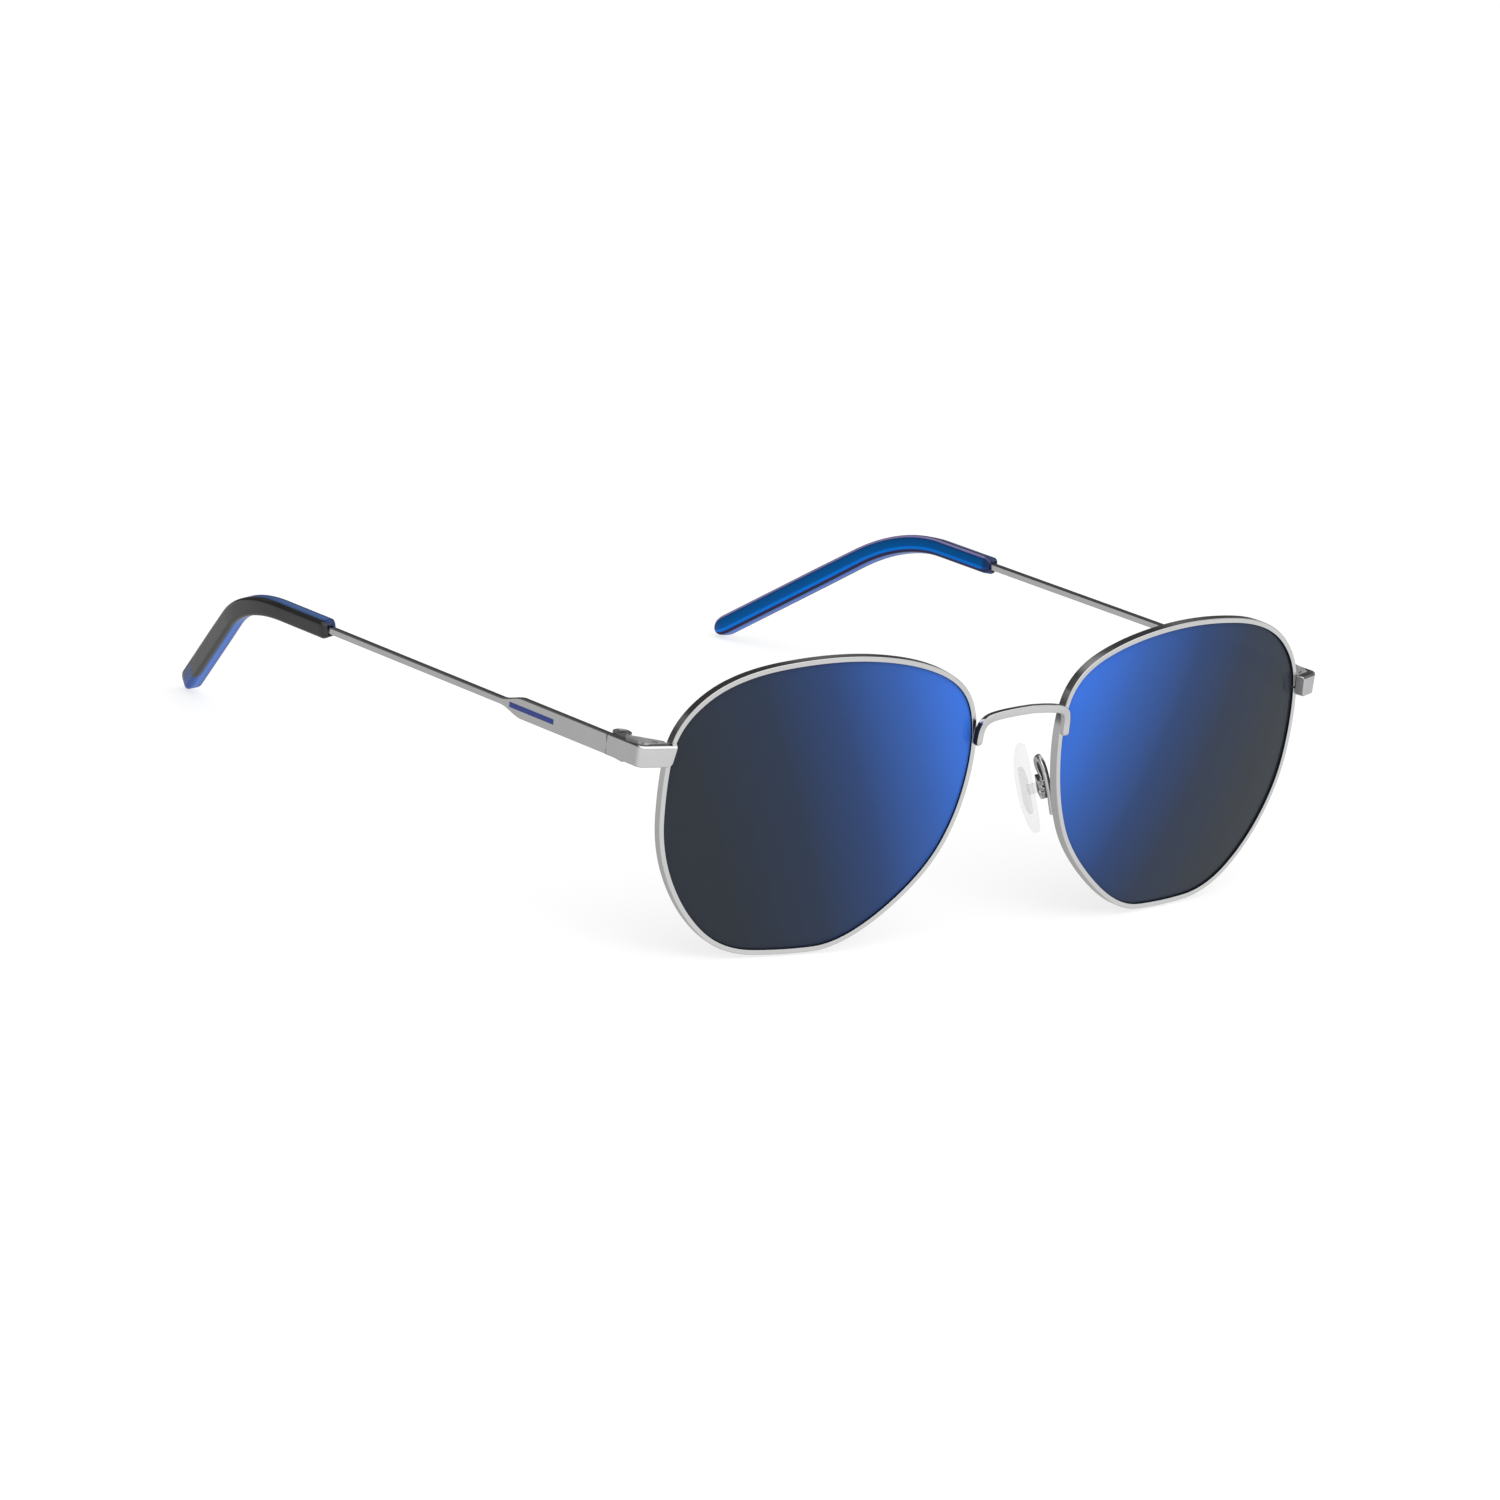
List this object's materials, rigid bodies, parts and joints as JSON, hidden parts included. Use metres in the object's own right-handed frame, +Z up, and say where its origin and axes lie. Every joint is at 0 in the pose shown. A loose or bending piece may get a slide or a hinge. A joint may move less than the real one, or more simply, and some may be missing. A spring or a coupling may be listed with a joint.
{
  "type": "sunglasses",
  "caption": "Full-rim metal sunglasses with thin rims, rounded hexagonal mirror lenses, single bridge, silicone nose pads on arms, folding temples and bent sleeve tips.",
  "frame": {"origin": "centre of the footprint at table level, with the glasses open and standing on the bottoms of the rims and the ends of the tips", "axes": "+X towards the wearer's left, +Y back towards the ears, +Z up"},
  "size_m": [0.1404, 0.145, 0.0485],
  "materials": {
    "silver_frame": "satin polished",
    "polished_steel": "polished",
    "mirror_lens": "blue mirror coating on a grey lens",
    "clear_silicone": "clear, soft",
    "clear_pad_core": "clear, hard",
    "blue_enamel": "gloss enamel",
    "blue_tip": "translucent acetate, polished",
    "black_tip": "polished acetate"
  },
  "bodies": {
    "front": {"left_rim": "silver_frame", "right_rim": "silver_frame", "left_lens": "mirror_lens", "right_lens": "mirror_lens", "bridge": "silver_frame", "left_end_piece": "silver_frame", "right_end_piece": "silver_frame", "left_upper_lock": "silver_frame", "right_upper_lock": "silver_frame", "left_lower_lock": "silver_frame", "right_lower_lock": "silver_frame", "left_lock_screw": "polished_steel", "right_lock_screw": "polished_steel", "left_front_knuckles": "silver_frame", "right_front_knuckles": "silver_frame", "left_hinge_screw": "polished_steel", "right_hinge_screw": "polished_steel", "left_pad_arm": "polished_steel", "right_pad_arm": "polished_steel", "left_pad_box": "polished_steel", "right_pad_box": "polished_steel", "left_pad_screw": "polished_steel", "right_pad_screw": "polished_steel"},
    "left_temple": {"left_temple": "silver_frame", "left_temple_knuckle": "silver_frame", "left_stripe": "blue_enamel", "left_tip": "blue_tip", "left_tip_skin": "black_tip"},
    "right_temple": {"right_temple": "silver_frame", "right_temple_knuckle": "silver_frame", "right_stripe": "blue_enamel", "right_tip": "blue_tip", "right_tip_skin": "black_tip"},
    "left_pad": {"left_pad_core": "clear_pad_core", "left_nose_pad": "clear_silicone"},
    "right_pad": {"right_pad_core": "clear_pad_core", "right_nose_pad": "clear_silicone"}
  },
  "joints": [
    {"name": "left_temple_fold", "type": "hinge", "parent": "front", "child": "left_temple", "pos_m": [0.0666, -0.05439, 0.02539], "axis": [0, -0.0181, 0.9998], "range_deg": [0, 88]},
    {"name": "right_temple_fold", "type": "hinge", "parent": "front", "child": "right_temple", "pos_m": [-0.0666, -0.05439, 0.02539], "axis": [0, 0.0181, -0.9998], "range_deg": [0, 84.5]},
    {"name": "left_pad_rock", "type": "hinge", "parent": "front", "child": "left_pad", "pos_m": [0.0118, -0.06383, 0.02172], "axis": [0.3918, 0.9033, 0.1747], "range_deg": [-6, 6]},
    {"name": "right_pad_rock", "type": "hinge", "parent": "front", "child": "right_pad", "pos_m": [-0.0118, -0.06383, 0.02172], "axis": [0.3918, -0.9033, -0.1747], "range_deg": [-6, 6]}
  ]
}
